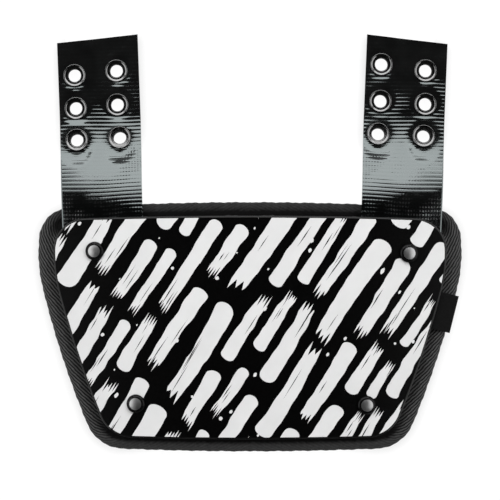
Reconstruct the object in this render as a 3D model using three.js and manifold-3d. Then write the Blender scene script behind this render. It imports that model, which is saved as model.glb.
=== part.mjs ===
// A football back plate lying on its pad: a bowed hard shell riveted over a bound foam pad,
// with two coated webbing straps whose eyelets tie it to the shoulder pads.
// Millimetres, +Z up. X runs across the back, +Y from the waist edge to the strap ends.
// The origin is on the resting surface, under the middle of the whole outline.
import * as THREE from "three";
import { mergeVertices } from "three/addons/utils/BufferGeometryUtils.js";
import Module from "manifold-3d";

const wasm = await Module();
wasm.setup();

// Driving dimensions
const CLEARANCE = 0.3; // between pieces that touch on the real object

// The plate is bent round a cone, so its side edges lie level and the middle arches over them.
const BOW = {
  rise: 14, // of the arch at the widest place
  halfWidth: 132.3, // of the cone at the widest place
  widestY: -7,
  taper: 0.277, // half width lost per millimetre towards the waist
  base: 10.1, // of the shell's back face above the surface, at the side edges
};

// Outlines of tangent arcs: a top edge, a waist edge, four corners, and on each side a flank that
// turns at the widest place and a nearly straight side below it.
const PAD_OUTLINE = {
  halfWidth: 132.3,
  widestY: -7,
  top: 24.7,
  bottom: -129.65,
  topCorner: 20,
  bottomCorner: 25,
  bottomCornerX: 78.8,
  topRadius: 1950,
  flankRadius: 92,
  sideRadius: 560,
  bottomRadius: 3600,
};
const SHELL_OUTLINE = {
  halfWidth: 121.6,
  widestY: -6,
  top: 16.1,
  bottom: -121.2,
  topCorner: 20,
  bottomCorner: 21.5,
  bottomCornerX: 73,
  topRadius: 3600,
  flankRadius: 100,
  sideRadius: 600,
  bottomRadius: 6000,
};

// Sections, from the back to the front. Inset is in from the outline, level is up from the shell's
// back face, and press is the share of the straps' dent that the row takes.
const SHELL_THICKNESS = 3;
const SHELL_SECTION = [
  { inset: 0.7, level: 0, press: 0 },
  { inset: 0, level: 0.7, press: 0 },
  { inset: 0, level: 1.9, press: 0 },
  { inset: 0.4, level: 2.6, press: 0 },
  { inset: 1.4, level: SHELL_THICKNESS, press: 0 },
];
const PAD_CROWN = 1.3; // extra swell of the pad's back at its middle
const PAD_SECTION = [
  { inset: 15, level: -12.3, press: 0 },
  { inset: 13.2, level: -11.7, press: 0 },
  { inset: 12.4, level: -10.2, press: 0 },
  { inset: 4, level: -9.8, press: 0 },
  { inset: 1.6, level: -8, press: 0 },
  { inset: 1.6, level: -5.8, press: 0.2 },
  { inset: 4, level: -4.1, press: 1 },
  { inset: 12.4, level: -3.7, press: 1 },
  { inset: 13.2, level: -1.9, press: 1 },
  { inset: 15, level: -0.35, press: 0 },
];
// The binding is a tape folded over the rim: its outer face, then back along its inner face.
const BINDING_SECTION = [
  { inset: 12, level: -1.8, press: 1 },
  { inset: 6, level: -1.95, press: 1 },
  { inset: 2.6, level: -2.8, press: 0.8 },
  { inset: 0.7, level: -4.6, press: 0.4 },
  { inset: 0, level: -6.9, press: 0 },
  { inset: 0.7, level: -9.2, press: 0 },
  { inset: 2.6, level: -10.8, press: 0 },
  { inset: 6, level: -11.5, press: 0 },
  { inset: 12, level: -11.7, press: 0 },
  { inset: 12, level: -10.5, press: 0 },
  { inset: 3.6, level: -10.2, press: 0 },
  { inset: 1.2, level: -8.1, press: 0 },
  { inset: 1.2, level: -5.6, press: 0.2 },
  { inset: 3.6, level: -3.3, press: 1 },
  { inset: 12, level: -3, press: 1 },
];
// The straps press the padded rim down where they cross it.
const PRESS = { depth: 1.3, fromX: 56, fullX: 65.5, restX: 119.5, toX: 126, fromY: -1, fullY: 5 };

const STRAP = {
  width: 50.4,
  thickness: 2.2,
  level: -1.4, // of its middle below the shell's back face, where it is tucked in
  rootY: -16, // hidden end behind the shell
  bendStart: 17,
  bendEnd: 80,
  tipHeight: 4, // of its middle above the surface, where it lies level at the tip
  crossY: 24.7, // where centreX is measured
};
// Each strap leans outward by lean per millimetre of Y and ends on a slanted cut.
const STRAPS = {
  left: { side: -1, centreX: 91.5, lean: 0.037, tipInner: 129.65, tipOuter: 124.15 },
  right: { side: 1, centreX: 94, lean: 0.041, tipInner: 129.65, tipOuter: 123.6 },
};
// Eyelet centres from the tip towards the shell, with x measured outward from the middle.
const EYELET_ROWS = {
  left: [
    { innerX: 83.4, innerY: 106.9, outerX: 109.5, outerY: 104 },
    { innerX: 82.8, innerY: 85.7, outerX: 108.7, outerY: 83.5 },
    { innerX: 81.1, innerY: 65, outerX: 107.8, outerY: 63.5 },
  ],
  right: [
    { innerX: 82, innerY: 110.9, outerX: 109.5, outerY: 107 },
    { innerX: 81.4, innerY: 88, outerX: 109.4, outerY: 86.1 },
    { innerX: 79.8, innerY: 67.3, outerX: 108.2, outerY: 66 },
  ],
};
const EYELET = { bore: 4, barrel: 4.8, flange: 7, rim: 0.5, crest: 1.1, washer: 0.9 };
const EYELET_SEAT = 0.5; // between a flat flange and the strap, which curves under it

const RIVET = { head: 5.8, dome: 2.7, brim: 0.8, shank: 2.2, washer: 6, washerThickness: 1.2 };
const RIVET_WASHER_LEVEL = -10.9; // front of the washer, sunk in the pad's back
const RIVET_PLACES = {
  rivet_top_left: { x: -95.1, y: -5.4 },
  rivet_top_right: { x: 97.3, y: -6.7 },
  rivet_bottom_left: { x: -69.8, y: -99.4 },
  rivet_bottom_right: { x: 71.3, y: -100.3 },
};

// The tag is a folded ribbon tucked under the shell's edge, its fold just past the rim.
const TAG = {
  x: 127.3, // middle of its fold
  y: -45.2,
  turn: THREE.MathUtils.degToRad(-14), // of its outward direction from +X
  width: 23.6,
  reach: 14.5, // from the fold to its hidden ends
  ribbon: 0.45,
  opening: 0.3, // between its two layers
  level: -1.52, // of its underside
};

// Fineness of the meshes
const HALF_STATIONS = 18; // columns from the middle of the plate to one side
const PLAIN_ROWS = 2; // rows down a plain face of the plate
const SWELL_ROWS = 4; // rows down a swelling one
const STRAP_COLUMNS = 4;
const STRAP_ROWS = 18;
const DENT_ROWS = 3; // along the short stretch of a strap that lies in the pad
const ROUND_SIDES = 12;
const SLOPE_STEP = 0.5; // for measuring how a surface slopes

// Heights of the bowed surface and of the straps
const coneHalfWidth = (y) => BOW.halfWidth + BOW.taper * (y - BOW.widestY);

// Height of the shell's back face at a place in plan.
function seatHeight(x, y) {
  const half = coneHalfWidth(y);
  return BOW.base + (BOW.rise / BOW.halfWidth) * (half - (x * x) / half);
}

// Height of a strap's middle: on the seat where it is tucked in, then down an S-curve to the tip.
function strapHeight(x, y) {
  const fall = THREE.MathUtils.smoothstep(y, STRAP.bendStart, STRAP.bendEnd);
  return THREE.MathUtils.lerp(seatHeight(x, y) + STRAP.level, STRAP.tipHeight, fall);
}

// How far the straps press a place on the padded rim down.
function pressDepth(x, y) {
  const along = THREE.MathUtils.smoothstep(y, PRESS.fromY, PRESS.fullY);
  const rise = THREE.MathUtils.smoothstep(Math.abs(x), PRESS.fromX, PRESS.fullX);
  const release = THREE.MathUtils.smoothstep(Math.abs(x), PRESS.restX, PRESS.toX);
  return PRESS.depth * along * (rise - release);
}

// A frame whose Z stands square on a height field, with its origin on the field.
function placeOn(height, x, y, turn = 0) {
  const slopeX = (height(x + SLOPE_STEP, y) - height(x - SLOPE_STEP, y)) / (2 * SLOPE_STEP);
  const slopeY = (height(x, y + SLOPE_STEP) - height(x, y - SLOPE_STEP)) / (2 * SLOPE_STEP);
  const up = new THREE.Vector3(-slopeX, -slopeY, 1).normalize();
  const along = new THREE.Vector3(Math.cos(turn), Math.sin(turn), 0);
  const across = up.clone().cross(along).normalize();
  const frame = new THREE.Matrix4().makeBasis(across.clone().cross(up), across, up);
  return frame.setPosition(x, y, height(x, y));
}

// Solids from faces, and booleans
class Faces {
  constructor() {
    this.positions = [];
    this.triangles = [];
  }

  point(x, y, z) {
    this.positions.push(x, y, z);
    return this.positions.length / 3 - 1;
  }

  quad(a, b, c, d) {
    this.triangles.push(a, b, c, a, c, d);
  }

  solid() {
    const mesh = { numProp: 3, vertProperties: new Float32Array(this.positions) };
    mesh.triVerts = new Uint32Array(this.triangles);
    return new wasm.Manifold(new wasm.Mesh(mesh));
  }
}

function solidOf(geometry) {
  const bare = geometry.clone();
  bare.deleteAttribute("normal");
  bare.deleteAttribute("uv");
  const merged = mergeVertices(bare);
  const vertProperties = new Float32Array(merged.attributes.position.array);
  const triVerts = new Uint32Array(merged.index.array);
  return new wasm.Manifold(new wasm.Mesh({ numProp: 3, vertProperties, triVerts }));
}

function geometryOf(solid) {
  const mesh = solid.getMesh();
  const geometry = new THREE.BufferGeometry();
  geometry.setAttribute("position", new THREE.BufferAttribute(new Float32Array(mesh.vertProperties), 3));
  geometry.setIndex(new THREE.BufferAttribute(new Uint32Array(mesh.triVerts), 1));
  geometry.computeVertexNormals();
  return geometry;
}

// A round rod along the Z of a frame, for cutting holes.
function rod(radius, from, to, frame) {
  const cylinder = new THREE.CylinderGeometry(radius, radius, to - from, ROUND_SIDES);
  cylinder.rotateX(Math.PI / 2);
  cylinder.translate(0, 0, (from + to) / 2);
  return solidOf(cylinder.applyMatrix4(frame));
}

// A turned solid about the Z of a frame, from a closed profile of radius and height.
function turned(profile, frame) {
  const points = profile.map(([radius, height]) => new THREE.Vector2(radius, height));
  const lathe = new THREE.LatheGeometry(points, ROUND_SIDES);
  lathe.rotateX(Math.PI / 2);
  return solidOf(lathe.applyMatrix4(frame));
}

// Outline of the plate
// The centre of a circle at given distances from two centres, on the right going from a to b.
function meet(a, toA, b, toB) {
  const dx = b.x - a.x;
  const dy = b.y - a.y;
  const apart = Math.hypot(dx, dy);
  const along = (toA ** 2 - toB ** 2 + apart ** 2) / (2 * apart);
  const across = Math.sqrt(toA ** 2 - along ** 2);
  return { x: a.x + (dx * along + dy * across) / apart, y: a.y + (dy * along - dx * across) / apart };
}

// The right half of an outline, from the top edge to the waist edge. Each arc keeps the directions
// that it faces, as angles from +X, so that an inset only shortens its radius.
function arcsOf(shape) {
  const top = { x: 0, y: shape.top - shape.topRadius, r: shape.topRadius };
  const waist = { x: 0, y: shape.bottom + shape.bottomRadius, r: shape.bottomRadius };
  const flank = { x: shape.halfWidth - shape.flankRadius, y: shape.widestY, r: shape.flankRadius };
  const shoulder = meet(top, top.r - shape.topCorner, flank, flank.r - shape.topCorner);
  shoulder.r = shape.topCorner;
  const hip = { x: shape.bottomCornerX, r: shape.bottomCorner };
  hip.y = waist.y - Math.sqrt((waist.r - hip.r) ** 2 - hip.x ** 2);
  const side = meet(flank, shape.sideRadius - flank.r, hip, shape.sideRadius - hip.r);
  side.r = shape.sideRadius;

  const arcs = [top, shoulder, flank, side, hip, waist];
  arcs.forEach((arc, i) => {
    const next = arcs[i + 1];
    const [large, small] = next && arc.r < next.r ? [next, arc] : [arc, next];
    arc.from = i === 0 ? Math.PI / 2 : arcs[i - 1].to;
    arc.to = next ? Math.atan2(small.y - large.y, small.x - large.x) : -Math.PI / 2;
  });
  return arcs;
}

// Stations run along the top edge from left to right and back along the waist edge, so that each
// on the top has its partner at the same x on the waist.
function stationsOf(shape) {
  const arcs = arcsOf(shape);
  const widest = arcs.find((arc) => arc.to <= 0);
  const reachOf = (arc, angle) => arc.x + arc.r * Math.cos(angle);
  const stationAt = (k, sense) => {
    const x = (widest.x + widest.r) * Math.sin((Math.PI / 2) * (Math.abs(k) / HALF_STATIONS));
    const above = (one) => reachOf(one, Math.max(0, one.to)) >= x;
    const below = (one) => reachOf(one, Math.min(0, one.from)) >= x;
    const arc = sense > 0 ? arcs.find(above) : arcs.findLast(below);
    const angle = sense * Math.acos(Math.min(1, (x - arc.x) / arc.r));
    return { arc, angle, mirror: k < 0 ? -1 : 1 };
  };
  const stations = [];
  for (let k = -HALF_STATIONS; k <= HALF_STATIONS; k++) {
    stations.push(stationAt(k, 1));
  }
  for (let k = HALF_STATIONS - 1; k > -HALF_STATIONS; k--) {
    stations.push(stationAt(k, -1));
  }
  return stations;
}

// Rings of points, one for each row of a section, lifted onto the bow.
function ringsOf(faces, shape, section) {
  const stations = stationsOf(shape);
  return section.map(({ inset, level, press }) =>
    stations.map(({ arc, angle, mirror }) => {
      const x = mirror * (arc.x + (arc.r - inset) * Math.cos(angle));
      const y = arc.y + (arc.r - inset) * Math.sin(angle);
      return faces.point(x, y, seatHeight(x, y) + level - press * pressDepth(x, y));
    }),
  );
}

function band(faces, ring, next) {
  ring.forEach((point, i) => {
    const after = (i + 1) % ring.length;
    faces.quad(point, next[i], next[after], ring[after]);
  });
}

// Closes a ring with columns from its top edge to its waist edge; swell lifts the middle.
function cap(faces, shape, ring, level, swell, facesUp) {
  const rows = swell === 0 ? PLAIN_ROWS : SWELL_ROWS;
  const last = 2 * HALF_STATIONS;
  const spot = (index) => faces.positions.slice(3 * index, 3 * index + 2);
  const columns = [];
  for (let k = 0; k <= last; k++) {
    const top = ring[k];
    const bottom = k % last === 0 ? top : ring[2 * last - k];
    const column = [top];
    for (let row = 1; row < rows; row++) {
      if (top === bottom) {
        break;
      }
      const part = row / rows;
      const [topX, topY] = spot(top);
      const [bottomX, bottomY] = spot(bottom);
      const x = THREE.MathUtils.lerp(topX, bottomX, part);
      const y = THREE.MathUtils.lerp(topY, bottomY, part);
      const middle = Math.sin(Math.PI * part) * Math.cos((Math.PI / 2) * (x / shape.halfWidth));
      column.push(faces.point(x, y, seatHeight(x, y) + level + swell * middle));
    }
    column.push(bottom);
    columns.push(column);
  }
  const triangle = (a, b, c) => faces.triangles.push(...(facesUp ? [a, b, c] : [a, c, b]));
  for (let k = 0; k < last; k++) {
    const here = columns[k];
    const next = columns[k + 1];
    for (let row = 0; row < rows; row++) {
      if (k > 0) {
        triangle(here[row], here[row + 1], next.length > 2 ? next[row + 1] : next[0]);
      }
      if (k < last - 1) {
        triangle(here.length > 2 ? here[row] : here[0], next[row + 1], next[row]);
      }
    }
  }
}

// A plate whose rim follows a section, closed by a back and a front face.
function plate(shape, section, backSwell) {
  const faces = new Faces();
  const rings = ringsOf(faces, shape, section);
  for (let i = 0; i + 1 < rings.length; i++) {
    band(faces, rings[i], rings[i + 1]);
  }
  cap(faces, shape, rings[0], section[0].level, -backSwell, false);
  cap(faces, shape, rings.at(-1), section.at(-1).level, 0, true);
  return faces.solid();
}

// A tape whose closed section runs round the outline.
function hoop(shape, section) {
  const faces = new Faces();
  const rings = ringsOf(faces, shape, section);
  rings.forEach((ring, i) => band(faces, rings[(i + 1) % rings.length], ring));
  return faces.solid();
}

// A strap, or the dent that it lies in, as a sheet between two heights
function strapSheet(strap, { rows: rowCount, grow, rootY, tipInner, tipOuter, below, above }) {
  const faces = new Faces();
  const half = STRAP.width / 2 + grow;
  const spot = (column, row) => {
    const across = THREE.MathUtils.lerp(-half, half, column / STRAP_COLUMNS);
    const tip = THREE.MathUtils.lerp(tipInner, tipOuter, column / STRAP_COLUMNS);
    const y = THREE.MathUtils.lerp(rootY, tip, row / rowCount);
    const centre = strap.centreX + strap.lean * (y - STRAP.crossY);
    return [strap.side * (centre + across), y];
  };
  const layer = (height) => {
    const rows = [];
    for (let row = 0; row <= rowCount; row++) {
      const points = [];
      for (let column = 0; column <= STRAP_COLUMNS; column++) {
        const [x, y] = spot(column, row);
        points.push(faces.point(x, y, height(x, y)));
      }
      rows.push(strap.side > 0 ? points : points.reverse());
    }
    return rows;
  };
  const bottom = layer(below);
  const top = layer(above);
  for (let row = 0; row < rowCount; row++) {
    for (let column = 0; column < STRAP_COLUMNS; column++) {
      faces.quad(top[row][column], top[row][column + 1], top[row + 1][column + 1], top[row + 1][column]);
      faces.quad(
        bottom[row][column],
        bottom[row + 1][column],
        bottom[row + 1][column + 1],
        bottom[row][column + 1],
      );
    }
    const edge = STRAP_COLUMNS;
    faces.quad(bottom[row][0], top[row][0], top[row + 1][0], bottom[row + 1][0]);
    faces.quad(bottom[row][edge], bottom[row + 1][edge], top[row + 1][edge], top[row][edge]);
  }
  for (let column = 0; column < STRAP_COLUMNS; column++) {
    const end = rowCount;
    faces.quad(bottom[0][column], bottom[0][column + 1], top[0][column + 1], top[0][column]);
    faces.quad(bottom[end][column], top[end][column], top[end][column + 1], bottom[end][column + 1]);
  }
  return faces.solid();
}

// Places that several pieces share
function eyeletFrames(name) {
  const { side } = STRAPS[name];
  return EYELET_ROWS[name].flatMap((row) => [
    placeOn(strapHeight, side * row.innerX, row.innerY),
    placeOn(strapHeight, side * row.outerX, row.outerY),
  ]);
}

const rivetFrames = Object.fromEntries(
  Object.entries(RIVET_PLACES).map(([name, { x, y }]) => [name, placeOn(seatHeight, x, y)]),
);

const HOLE_REACH = 20; // of a cutting rod each way, past every layer

function drillForRivets(solid) {
  return Object.values(rivetFrames).reduce(
    (drilled, frame) => drilled.subtract(rod(RIVET.shank + CLEARANCE, -HOLE_REACH, HOLE_REACH, frame)),
    solid,
  );
}

// Pieces
function shellPlate() {
  return drillForRivets(plate(SHELL_OUTLINE, SHELL_SECTION, 0));
}

function foamPad() {
  let pad = drillForRivets(plate(PAD_OUTLINE, PAD_SECTION, PAD_CROWN));
  for (const strap of Object.values(STRAPS)) {
    pad = pad.subtract(strapDent(strap));
  }
  for (const frame of Object.values(rivetFrames)) {
    const well = rod(RIVET.washer + CLEARANCE, -HOLE_REACH, RIVET_WASHER_LEVEL + CLEARANCE, frame);
    pad = pad.subtract(well);
  }
  return pad;
}

function strapDent(strap) {
  const floorLevel = STRAP.level - STRAP.thickness / 2 - CLEARANCE;
  const reach = STRAP.bendStart;
  return strapSheet(strap, {
    rows: DENT_ROWS,
    grow: 2 * CLEARANCE,
    rootY: STRAP.rootY - 2 * CLEARANCE,
    tipInner: reach,
    tipOuter: reach,
    below: (x, y) => seatHeight(x, y) + floorLevel,
    above: (x, y) => seatHeight(x, y) + SHELL_THICKNESS,
  });
}

// The binding is flattened where the plate rests on it.
function edgeBinding() {
  const span = 4 * PAD_OUTLINE.halfWidth;
  const ground = new THREE.BoxGeometry(span, span, span);
  ground.translate(0, 0, -span / 2);
  return hoop(PAD_OUTLINE, BINDING_SECTION).subtract(solidOf(ground));
}

function webbingStrap(name) {
  const strap = STRAPS[name];
  const half = STRAP.thickness / 2;
  let sheet = strapSheet(strap, {
    rows: STRAP_ROWS,
    grow: 0,
    rootY: STRAP.rootY,
    tipInner: strap.tipInner,
    tipOuter: strap.tipOuter,
    below: (x, y) => strapHeight(x, y) - half,
    above: (x, y) => strapHeight(x, y) + half,
  });
  for (const frame of eyeletFrames(name)) {
    sheet = sheet.subtract(rod(EYELET.barrel + CLEARANCE, -HOLE_REACH, HOLE_REACH, frame));
  }
  return drillForRivets(sheet);
}

function eyelet(frame) {
  const front = STRAP.thickness / 2 + EYELET_SEAT;
  const profile = [
    [EYELET.bore, -front - EYELET.washer],
    [EYELET.flange, -front - EYELET.washer],
    [EYELET.flange, -front],
    [EYELET.barrel, -front],
    [EYELET.barrel, front],
    [EYELET.flange, front],
    [EYELET.flange, front + EYELET.rim],
    [(EYELET.flange + EYELET.bore) / 2, front + EYELET.crest],
    [EYELET.bore, front + EYELET.rim],
    [EYELET.bore, -front - EYELET.washer],
  ];
  return turned(profile, frame);
}

function rivet(frame) {
  const seat = SHELL_THICKNESS + CLEARANCE;
  const washerBack = RIVET_WASHER_LEVEL - RIVET.washerThickness;
  const shoulder = 0.72; // share of the head's radius where the dome turns down
  const profile = [
    [0, washerBack],
    [RIVET.washer, washerBack],
    [RIVET.washer, RIVET_WASHER_LEVEL],
    [RIVET.shank, RIVET_WASHER_LEVEL],
    [RIVET.shank, seat],
    [RIVET.head, seat],
    [RIVET.head, seat + RIVET.brim],
    [RIVET.head * shoulder, seat + RIVET.dome * shoulder],
    [RIVET.head * (1 - shoulder), seat + RIVET.dome],
    [0, seat + RIVET.dome],
  ];
  return turned(profile, frame);
}

// The ribbon's section runs in from the fold along both layers.
function sideTag() {
  const outer = TAG.ribbon + TAG.opening / 2;
  const inner = TAG.opening / 2;
  const section = new THREE.Shape();
  section.moveTo(-TAG.reach, -outer);
  section.lineTo(-outer, -outer);
  section.absarc(-outer, 0, outer, -Math.PI / 2, Math.PI / 2, false);
  section.lineTo(-TAG.reach, outer);
  section.lineTo(-TAG.reach, inner);
  section.lineTo(-outer, inner);
  section.absarc(-outer, 0, inner, Math.PI / 2, -Math.PI / 2, true);
  section.lineTo(-TAG.reach, -inner);
  const ribbon = new THREE.ExtrudeGeometry(section, {
    depth: TAG.width,
    bevelEnabled: false,
    curveSegments: ROUND_SIDES / 2,
  });
  ribbon.translate(0, 0, -TAG.width / 2);
  ribbon.rotateX(Math.PI / 2);
  ribbon.translate(0, 0, TAG.level + outer);
  return solidOf(ribbon.applyMatrix4(placeOn(seatHeight, TAG.x, TAG.y, TAG.turn)));
}

// Materials
const finish = (color, roughness, metalness) => () =>
  new THREE.MeshStandardMaterial({ color, roughness, metalness });
const SHELL_FINISH = finish(0x121314, 0.35, 0);
const PAD_FINISH = finish(0x1b1c1d, 0.95, 0);
const BINDING_FINISH = finish(0x2f3032, 0.9, 0);
const STRAP_FINISH = finish(0x0d0e0f, 0.25, 0);
const EYELET_FINISH = finish(0x3b3d40, 0.3, 0.9);
const RIVET_FINISH = finish(0x101011, 0.3, 0.2);
const TAG_FINISH = finish(0x161617, 0.85, 0);

// Assembly
const backPlate = new THREE.Group();
backPlate.name = "football_back_plate";

function addPiece(name, solid, material) {
  const mesh = new THREE.Mesh(geometryOf(solid), material());
  mesh.name = name;
  backPlate.add(mesh);
}

addPiece("shell_plate", shellPlate(), SHELL_FINISH);
addPiece("foam_pad", foamPad(), PAD_FINISH);
addPiece("edge_binding", edgeBinding(), BINDING_FINISH);
for (const name of Object.keys(STRAPS)) {
  addPiece(`strap_${name}`, webbingStrap(name), STRAP_FINISH);
  eyeletFrames(name).forEach((frame, i) => {
    addPiece(`eyelet_${name}_${i + 1}`, eyelet(frame), EYELET_FINISH);
  });
}
for (const [name, frame] of Object.entries(rivetFrames)) {
  addPiece(name, rivet(frame), RIVET_FINISH);
}
addPiece("side_tag", sideTag(), TAG_FINISH);

export default backPlate;
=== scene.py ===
"""The looks of a football back plate: print, cloth, coated webbing, metal and light."""

import math
import random
from types import SimpleNamespace as Sizes

import bpy
import numpy as np
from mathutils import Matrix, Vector
from mathutils.geometry import delaunay_2d_cdt


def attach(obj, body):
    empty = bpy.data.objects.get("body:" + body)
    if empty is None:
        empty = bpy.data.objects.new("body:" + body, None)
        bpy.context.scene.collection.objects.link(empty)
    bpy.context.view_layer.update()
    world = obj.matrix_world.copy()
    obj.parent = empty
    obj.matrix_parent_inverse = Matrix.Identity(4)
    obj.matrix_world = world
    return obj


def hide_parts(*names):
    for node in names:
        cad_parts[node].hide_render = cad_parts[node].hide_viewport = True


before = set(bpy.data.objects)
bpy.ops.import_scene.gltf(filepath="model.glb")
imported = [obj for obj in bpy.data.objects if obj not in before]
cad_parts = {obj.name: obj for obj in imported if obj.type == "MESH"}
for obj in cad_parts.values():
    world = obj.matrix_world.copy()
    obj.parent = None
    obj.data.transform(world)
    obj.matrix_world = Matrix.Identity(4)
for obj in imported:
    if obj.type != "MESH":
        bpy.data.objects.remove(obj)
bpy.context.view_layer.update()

MM = 0.001  # every size below is in millimetres unless it says otherwise, and Blender's are in metres
BODY = "root"


# Sizes shared with the solids
BOW = Sizes(rise=14, half_width=132.3, widest_y=-7, taper=0.277, base=10.1)
PAD_OUTLINE = Sizes(
    half_width=132.3, widest_y=-7, top=24.7, bottom=-129.65, top_corner=20, bottom_corner=25,
    bottom_corner_x=78.8, top_radius=1950, flank_radius=92, side_radius=560, bottom_radius=3600,
)
SHELL_OUTLINE = Sizes(
    half_width=121.6, widest_y=-6, top=16.1, bottom=-121.2, top_corner=20, bottom_corner=21.5,
    bottom_corner_x=73, top_radius=3600, flank_radius=100, side_radius=600, bottom_radius=6000,
)
SHELL_THICKNESS = 3
PRESS = Sizes(depth=1.3, from_x=56, full_x=65.5, rest_x=119.5, to_x=126, from_y=-1, full_y=5)
STRAP = Sizes(
    width=50.4, thickness=2.2, level=-1.4, root_y=-16, bend_start=17, bend_end=80, tip_height=4,
    cross_y=24.7,
)
STRAPS = dict(
    left=Sizes(side=-1, centre_x=91.5, lean=0.037, tip_inner=129.65, tip_outer=124.15),
    right=Sizes(side=1, centre_x=94, lean=0.041, tip_inner=129.65, tip_outer=123.6),
)
# Eyelet centres from the tip towards the shell, inner then outer, with x measured outward.
EYELET_PLACES = dict(
    left=[(83.4, 106.9), (109.5, 104), (82.8, 85.7), (108.7, 83.5), (81.1, 65), (107.8, 63.5)],
    right=[(82, 110.9), (109.5, 107), (81.4, 88), (109.4, 86.1), (79.8, 67.3), (108.2, 66)],
)
EYELET = Sizes(
    bore=4, barrel=4.8, flange=7, half_height=1.25, washer_thick=0.9, washer_gap=0.5, chamfer=0.3, toe=0.1,
    bead=0.35, bead_level=0.45, dish=5.4, dish_level=0.42, dish_depth=0.38, dish_rows=8, lip=0.6, arc_steps=6,
)
RIVET = Sizes(
    head=5.8, dome=2.7, seat=3.05, toe=0.25, shank=2.2, washer=6, washer_front=-10.9, washer_thick=1.2,
    chamfer=0.4, middle=0.05, shoulder=0.6, shoulder_end=75, shoulder_rows=7, cap=3.7, cap_bend=15,
    cap_rows=9, cap_middle=0.01,
)
RIVET_PLACES = dict(
    rivet_top_left=(-95.1, -5.4), rivet_top_right=(97.3, -6.7),
    rivet_bottom_left=(-69.8, -99.4), rivet_bottom_right=(71.3, -100.3),
)
TAG = Sizes(
    x=127.3, y=-45.2, turn=math.radians(-14), width=23.6, reach=14.5, ribbon=0.45, opening=0.3, level=-1.52,
    fold_points=9, rows=25,
)
# Angles in degrees past which an edge stays crisp.
CREASE = Sizes(turned=50, strap=18, tag=40)
TURNED_SIDES = 48


# Heights
def lerp(a, b, t):
    return a + (b - a) * t


def smoothstep(value, low, high):
    t = np.clip((value - low) / (high - low), 0, 1)
    return t * t * (3 - 2 * t)


def hill(share):
    """0 at both ends of a stretch and 1 half-way along it."""
    return 4 * share * (1 - share)


def seat_height(x, y):
    """Height of the shell's back face over a place in plan."""
    half = BOW.half_width + BOW.taper * (y - BOW.widest_y)
    return BOW.base + BOW.rise / BOW.half_width * (half - x * x / half)


def strap_height(x, y):
    """Height of a strap's middle, from the seat down an S-curve to its level tip."""
    fall = smoothstep(y, STRAP.bend_start, STRAP.bend_end)
    return lerp(seat_height(x, y) + STRAP.level, STRAP.tip_height, fall)


def press_depth(x, y):
    """How far the straps press the padded rim down."""
    along = smoothstep(y, PRESS.from_y, PRESS.full_y)
    across = smoothstep(abs(x), PRESS.from_x, PRESS.full_x)
    release = smoothstep(abs(x), PRESS.rest_x, PRESS.to_x)
    return PRESS.depth * along * (across - release)


def frame_on(height, x, y, turn=0.0):
    """Origin and axes of a frame that stands square on a height field."""
    step = 0.5
    slope_x = (height(x + step, y) - height(x - step, y)) / (2 * step)
    slope_y = (height(x, y + step) - height(x, y - step)) / (2 * step)
    up = Vector((-slope_x, -slope_y, 1)).normalized()
    along = Vector((math.cos(turn), math.sin(turn), 0))
    across = up.cross(along).normalized()
    return np.array((x, y, height(x, y))), np.array((across.cross(up), across, up))


# Meshes
WELD_REACH = 0.01


def add_piece(name, points, faces, materials, face_material=None, uv=None):
    """A smooth mesh object from points in millimetres, which rides on the part."""
    mesh = bpy.data.meshes.new(name)
    mesh.from_pydata((np.asarray(points, float) * MM).tolist(), [], faces)
    for material in materials:
        mesh.materials.append(material)
    if face_material is not None:
        mesh.polygons.foreach_set("material_index", np.asarray(face_material, np.int32))
    shade_smooth(mesh)
    if uv is not None:
        corner = np.zeros(len(mesh.loops), np.int32)
        mesh.loops.foreach_get("vertex_index", corner)
        layer = mesh.uv_layers.new(name="cloth")
        layer.data.foreach_set("uv", np.asarray(uv, np.float32)[corner].ravel())
    mesh.update()
    piece = bpy.data.objects.new(name, mesh)
    bpy.context.scene.collection.objects.link(piece)
    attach(piece, BODY)
    return piece


def shade_smooth(mesh):
    mesh.polygons.foreach_set("use_smooth", np.ones(len(mesh.polygons), bool))


def keep_crisp(piece, degrees):
    """Keeps edges that turn more than the angle crisp."""
    piece.data.set_sharp_from_angle(angle=math.radians(degrees))


def apply_modifiers(piece):
    graph = bpy.context.evaluated_depsgraph_get()
    mesh = bpy.data.meshes.new_from_object(piece.evaluated_get(graph))
    piece.modifiers.clear()
    piece.data = mesh


def weld(piece):
    """Joins points that lie on each other, so that shading runs on over them."""
    modifier = piece.modifiers.new("weld", "WELD")
    modifier.merge_threshold = WELD_REACH * MM
    apply_modifiers(piece)


def places_of(piece):
    """The points of a mesh in millimetres."""
    flat = np.zeros(len(piece.data.vertices) * 3)
    piece.data.vertices.foreach_get("co", flat)
    return flat.reshape(-1, 3) / MM


def move_points(piece, points):
    piece.data.vertices.foreach_set("co", (points * MM).ravel())
    piece.data.update()


def keep_values(piece, name, values):
    """Keeps a number for each point of a mesh, for its material to read."""
    layer = piece.data.attributes.new(name, "FLOAT", "POINT")
    layer.data.foreach_set("value", values.astype(np.float32))


def band_faces(rings, closed_rows=False):
    """Quads between rings of point numbers, each ring closed on itself."""
    faces = []
    pairs = list(zip(rings, rings[1:]))
    if closed_rows:
        pairs.append((rings[-1], rings[0]))
    for ring, after in pairs:
        count = len(ring)
        for i in range(count):
            j = (i + 1) % count
            faces.append((ring[i], ring[j], after[j], after[i]))
    return faces


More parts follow.
